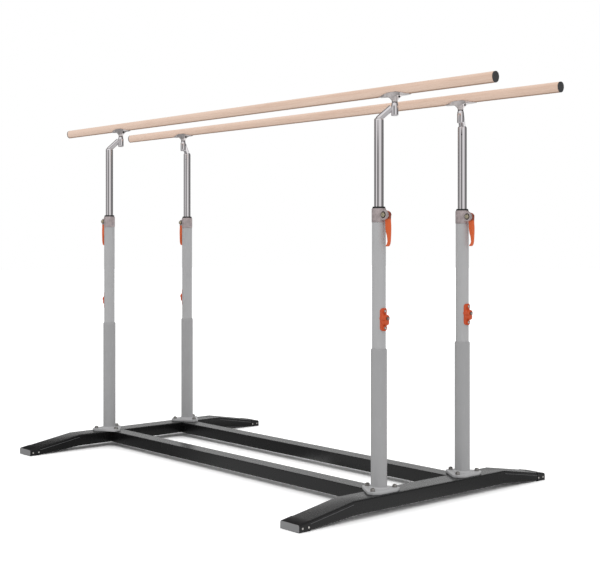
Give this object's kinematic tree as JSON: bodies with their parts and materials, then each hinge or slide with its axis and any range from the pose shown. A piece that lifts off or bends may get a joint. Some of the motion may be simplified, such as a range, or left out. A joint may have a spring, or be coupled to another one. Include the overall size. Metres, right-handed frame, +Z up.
{
  "type": "gymnastics parallel bars",
  "caption": "Gymnastics parallel bars with adjustable height and width: wooden rails on telescopic crank posts with clamp levers and latches, on a low base frame with sloping feet.",
  "frame": {"origin": "on the floor, under the middle of the outer box", "axes": "+X along the rails, +Y across them towards the back rail, +Z up"},
  "size_m": [3.5164, 1.774, 2],
  "materials": {
    "rail_wood": "pale, sealed, satin",
    "bright_chrome": "polished plating",
    "black_paint": "satin powder coat",
    "grey_paint": "satin powder coat",
    "cast_alloy": "blasted casting",
    "polished_alloy": "polished casting",
    "zinc_plate": "yellow zinc plating",
    "plain_steel": "machined",
    "orange_plastic": "moulded, satin",
    "orange_paint": "satin powder coat",
    "dark_plastic": "moulded, satin",
    "black_rubber": "matt moulding"
  },
  "bodies": {
    "base": {"near_crossbeam": "black_paint", "near_front_post_socket": "grey_paint", "near_front_column": "grey_paint", "near_front_clamp_head": "cast_alloy", "near_front_clamp_bolt": "zinc_plate", "near_front_guide_bush": "dark_plastic", "near_front_latch_housing": "orange_plastic", "near_front_foot_cap": "black_rubber", "near_back_post_socket": "grey_paint", "near_back_column": "grey_paint", "near_back_clamp_head": "cast_alloy", "near_back_clamp_bolt": "zinc_plate", "near_back_guide_bush": "dark_plastic", "near_back_latch_housing": "orange_plastic", "near_back_foot_cap": "black_rubber", "far_crossbeam": "black_paint", "far_front_post_socket": "grey_paint", "far_front_column": "grey_paint", "far_front_clamp_head": "cast_alloy", "far_front_clamp_bolt": "zinc_plate", "far_front_guide_bush": "dark_plastic", "far_front_latch_housing": "orange_plastic", "far_front_foot_cap": "black_rubber", "far_back_post_socket": "grey_paint", "far_back_column": "grey_paint", "far_back_clamp_head": "cast_alloy", "far_back_clamp_bolt": "zinc_plate", "far_back_guide_bush": "dark_plastic", "far_back_latch_housing": "orange_plastic", "far_back_foot_cap": "black_rubber", "front_beam": "black_paint", "back_beam": "black_paint"},
    "front_rail_set": {"front_rail": "rail_wood", "near_front_saddle": "polished_alloy", "near_front_rail_cap": "dark_plastic", "far_front_saddle": "polished_alloy", "far_front_rail_cap": "dark_plastic"},
    "back_rail_set": {"back_rail": "rail_wood", "near_back_saddle": "polished_alloy", "near_back_rail_cap": "dark_plastic", "far_back_saddle": "polished_alloy", "far_back_rail_cap": "dark_plastic"},
    "near_front_lift": {"near_front_lift_rod": "plain_steel"},
    "near_front_crank": {"near_front_crank_tube": "bright_chrome"},
    "near_front_lever": {"near_front_clamp_lever": "orange_paint"},
    "near_front_pin": {"near_front_latch_pin": "plain_steel"},
    "near_back_lift": {"near_back_lift_rod": "plain_steel"},
    "near_back_crank": {"near_back_crank_tube": "bright_chrome"},
    "near_back_lever": {"near_back_clamp_lever": "orange_paint"},
    "near_back_pin": {"near_back_latch_pin": "plain_steel"},
    "far_front_lift": {"far_front_lift_rod": "plain_steel"},
    "far_front_crank": {"far_front_crank_tube": "bright_chrome"},
    "far_front_lever": {"far_front_clamp_lever": "orange_paint"},
    "far_front_pin": {"far_front_latch_pin": "plain_steel"},
    "far_back_lift": {"far_back_lift_rod": "plain_steel"},
    "far_back_crank": {"far_back_crank_tube": "bright_chrome"},
    "far_back_lever": {"far_back_clamp_lever": "orange_paint"},
    "far_back_pin": {"far_back_latch_pin": "plain_steel"}
  },
  "joints": [
    {"name": "near_front_lift_slide", "type": "slide", "parent": "base", "child": "near_front_lift", "axis": [0, 0, 1], "range_m": [-0.3, 0.3]},
    {"name": "near_front_crank_turn", "type": "hinge", "parent": "near_front_lift", "child": "near_front_crank", "pos_m": [1.1115, -0.3035, 1.2], "axis": [0, 0, -1], "range_deg": [-50, 70]},
    {"name": "near_front_lever_swing", "type": "hinge", "parent": "base", "child": "near_front_lever", "pos_m": [1.15901, -0.3035, 1.3903], "axis": [0, -1, 0], "range_deg": [0, 120]},
    {"name": "near_front_pin_pull", "type": "slide", "parent": "base", "child": "near_front_pin", "axis": [1, 0, 0], "range_m": [0, 0.008], "stiffness_N_per_m": 600, "springref_m": -0.004},
    {"name": "near_back_lift_slide", "type": "slide", "parent": "base", "child": "near_back_lift", "axis": [0, 0, 1], "range_m": [-0.3, 0.3]},
    {"name": "near_back_crank_turn", "type": "hinge", "parent": "near_back_lift", "child": "near_back_crank", "pos_m": [1.1115, 0.3035, 1.2], "axis": [0, 0, 1], "range_deg": [-33, 87]},
    {"name": "near_back_lever_swing", "type": "hinge", "parent": "base", "child": "near_back_lever", "pos_m": [1.15901, 0.3035, 1.3903], "axis": [0, -1, 0], "range_deg": [0, 120]},
    {"name": "near_back_pin_pull", "type": "slide", "parent": "base", "child": "near_back_pin", "axis": [1, 0, 0], "range_m": [0, 0.008], "stiffness_N_per_m": 600, "springref_m": -0.004},
    {"name": "far_front_lift_slide", "type": "slide", "parent": "base", "child": "far_front_lift", "axis": [0, 0, 1], "range_m": [-0.3, 0.3]},
    {"name": "far_front_crank_turn", "type": "hinge", "parent": "far_front_lift", "child": "far_front_crank", "pos_m": [-1.1885, -0.3035, 1.2], "axis": [0, 0, -1], "range_deg": [-50, 70]},
    {"name": "far_front_lever_swing", "type": "hinge", "parent": "base", "child": "far_front_lever", "pos_m": [-1.23599, -0.3035, 1.3903], "axis": [0, 1, 0], "range_deg": [0, 120]},
    {"name": "far_front_pin_pull", "type": "slide", "parent": "base", "child": "far_front_pin", "axis": [-1, 0, 0], "range_m": [0, 0.008], "stiffness_N_per_m": 600, "springref_m": -0.004},
    {"name": "far_back_lift_slide", "type": "slide", "parent": "base", "child": "far_back_lift", "axis": [0, 0, 1], "range_m": [-0.3, 0.3]},
    {"name": "far_back_crank_turn", "type": "hinge", "parent": "far_back_lift", "child": "far_back_crank", "pos_m": [-1.1885, 0.3035, 1.2], "axis": [0, 0, 1], "range_deg": [-33, 87]},
    {"name": "far_back_lever_swing", "type": "hinge", "parent": "base", "child": "far_back_lever", "pos_m": [-1.23599, 0.3035, 1.3903], "axis": [0, 1, 0], "range_deg": [0, 120]},
    {"name": "far_back_pin_pull", "type": "slide", "parent": "base", "child": "far_back_pin", "axis": [-1, 0, 0], "range_m": [0, 0.008], "stiffness_N_per_m": 600, "springref_m": -0.004},
    {"name": "front_rail_swivel", "type": "hinge", "parent": "near_front_crank", "child": "front_rail_set", "pos_m": [1.16819, -0.25593, 1.9], "axis": [0, 0, -1], "range_deg": [-70, 50]},
    {"name": "back_rail_swivel", "type": "hinge", "parent": "near_back_crank", "child": "back_rail_set", "pos_m": [1.15181, 0.24144, 1.9], "axis": [0, 0, 1], "range_deg": [-87, 33]}
  ],
  "couplings": [
    {"joint": "far_front_lift_slide", "follows": "near_front_lift_slide", "ratio": 1},
    {"joint": "far_front_crank_turn", "follows": "near_front_crank_turn", "ratio": 1},
    {"joint": "front_rail_swivel", "follows": "near_front_crank_turn", "ratio": -1},
    {"joint": "far_back_lift_slide", "follows": "near_back_lift_slide", "ratio": 1},
    {"joint": "far_back_crank_turn", "follows": "near_back_crank_turn", "ratio": 1},
    {"joint": "back_rail_swivel", "follows": "near_back_crank_turn", "ratio": -1}
  ]
}
